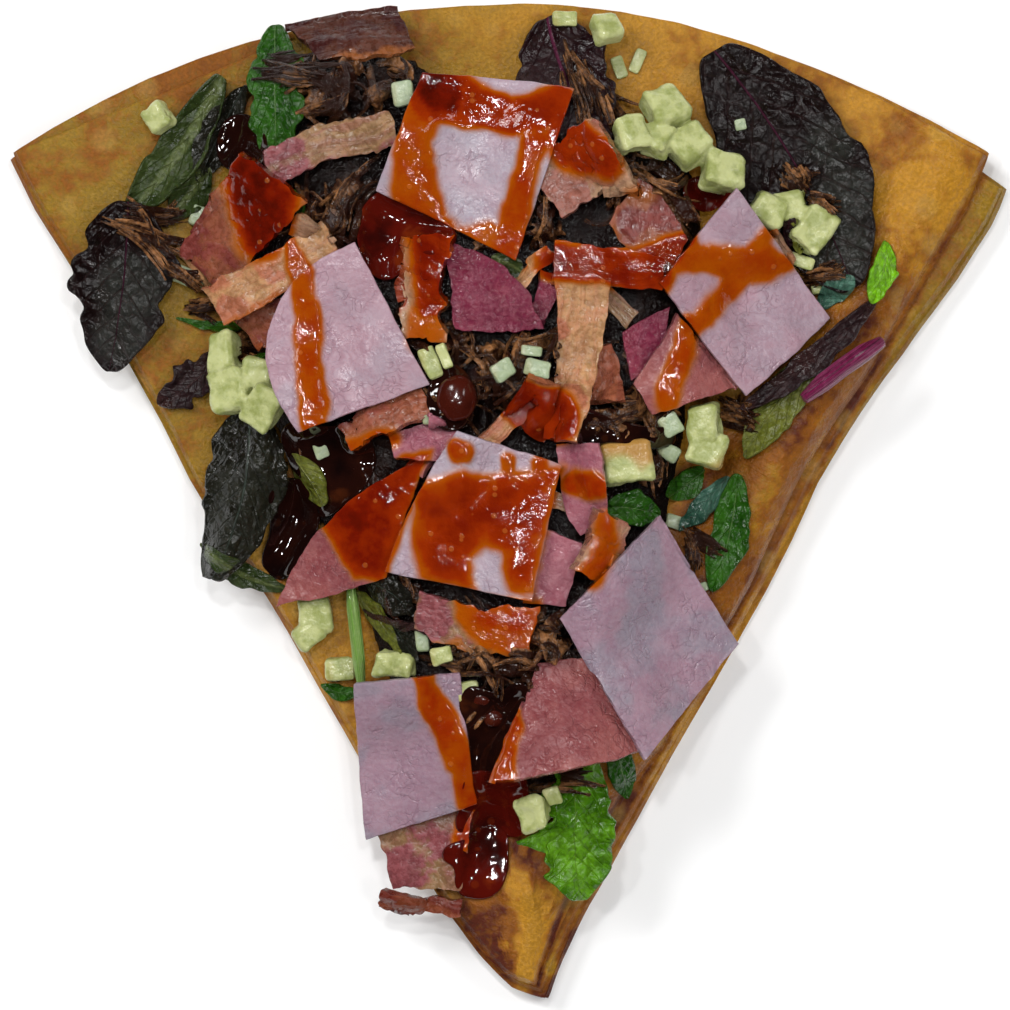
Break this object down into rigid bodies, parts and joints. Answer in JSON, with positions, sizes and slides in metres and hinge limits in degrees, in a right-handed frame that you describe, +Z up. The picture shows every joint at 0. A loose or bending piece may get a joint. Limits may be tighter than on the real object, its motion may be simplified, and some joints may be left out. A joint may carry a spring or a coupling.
{
  "type": "savory crepe",
  "caption": "Large thin pancake folded to a wedge, heaped with salad leaves, diced cheese, pulled beef, bacon, sliced ham and sauce.",
  "frame": {"origin": "centre of the bounding box, at its bottom, where the folded pancake lies on the plate", "axes": "+Z up out of the plate, +Y from the wedge's tip to its round edge, +X towards its rolled side"},
  "size_m": [0.1957, 0.1952, 0.0321],
  "materials": {
    "crepe": "golden baked batter with brown mottling, fine sandy grain, faint oil sheen",
    "ham": "pale pink moist slice with fine wrinkles, and glossy orange-brown sauce in places",
    "cooked_ham": "dark reddish moist slice with fine grain",
    "bacon": "fried, streaked tan and pink, greasy gloss",
    "beef": "dark brown fibrous shreds, wet gloss",
    "cheese": "pale greenish yellow dice, soft satin",
    "green_leaf": "fresh green leaf with pale veins, waxy satin",
    "dark_leaf": "near-black green and purple lettuce leaf, waxy sheen",
    "stem": "ribbed magenta leaf stalk, waxy sheen"
  },
  "bodies": {
    "root": {"bacon_centre_low": "bacon", "bacon_crust_tip": "bacon", "bacon_fat_low": "bacon", "bacon_left_strip": "bacon", "bacon_left_under": "bacon", "bacon_left_wide": "bacon", "bacon_lump": "bacon", "bacon_mid_left": "bacon", "bacon_right_flat": "bacon", "bacon_right_lump": "bacon", "bacon_rim": "bacon", "bacon_saucy": "bacon", "bacon_under_left": "bacon", "bacon_under_slice": "bacon", "bacon_upright": "bacon", "beef_bundle_left": "beef", "beef_bundle_side": "beef", "beef_bundle_tip": "beef", "beef_heap": "beef", "cheese_left": "cheese", "cheese_low_left": "cheese", "cheese_low_mid": "cheese", "cheese_mid_right": "cheese", "cheese_right": "cheese", "cheese_rim_left": "cheese", "cheese_rim_top": "cheese", "cheese_sauced": "cheese", "cheese_tip": "cheese", "cheese_top_right": "cheese", "cooked_ham_fold": "cooked_ham", "cooked_ham_left": "cooked_ham", "cooked_ham_left_tab": "cooked_ham", "cooked_ham_low": "cooked_ham", "cooked_ham_mid": "cooked_ham", "cooked_ham_rim": "cooked_ham", "cooked_ham_sauced": "cooked_ham", "cooked_ham_tab": "cooked_ham", "cooked_ham_wine": "cooked_ham", "crepe": "crepe", "ham_centre": "ham", "ham_left": "ham", "ham_lower_left": "ham", "ham_lower_right": "ham", "ham_right": "ham", "ham_top": "ham", "leaf_brown_side": "dark_leaf", "leaf_dark_left": "dark_leaf", "leaf_dark_low_left": "dark_leaf", "leaf_green_mid": "green_leaf", "leaf_green_side": "green_leaf", "leaf_lime_side": "green_leaf", "leaf_olive_side": "green_leaf", "leaf_red_left": "dark_leaf", "leaf_red_right": "dark_leaf", "leaf_red_top": "dark_leaf", "leaf_spinach_top": "green_leaf", "leaf_stalk_left": "green_leaf", "leaf_tip_green": "green_leaf", "stem_green": "green_leaf", "stem_purple": "stem"}
  },
  "joints": []
}
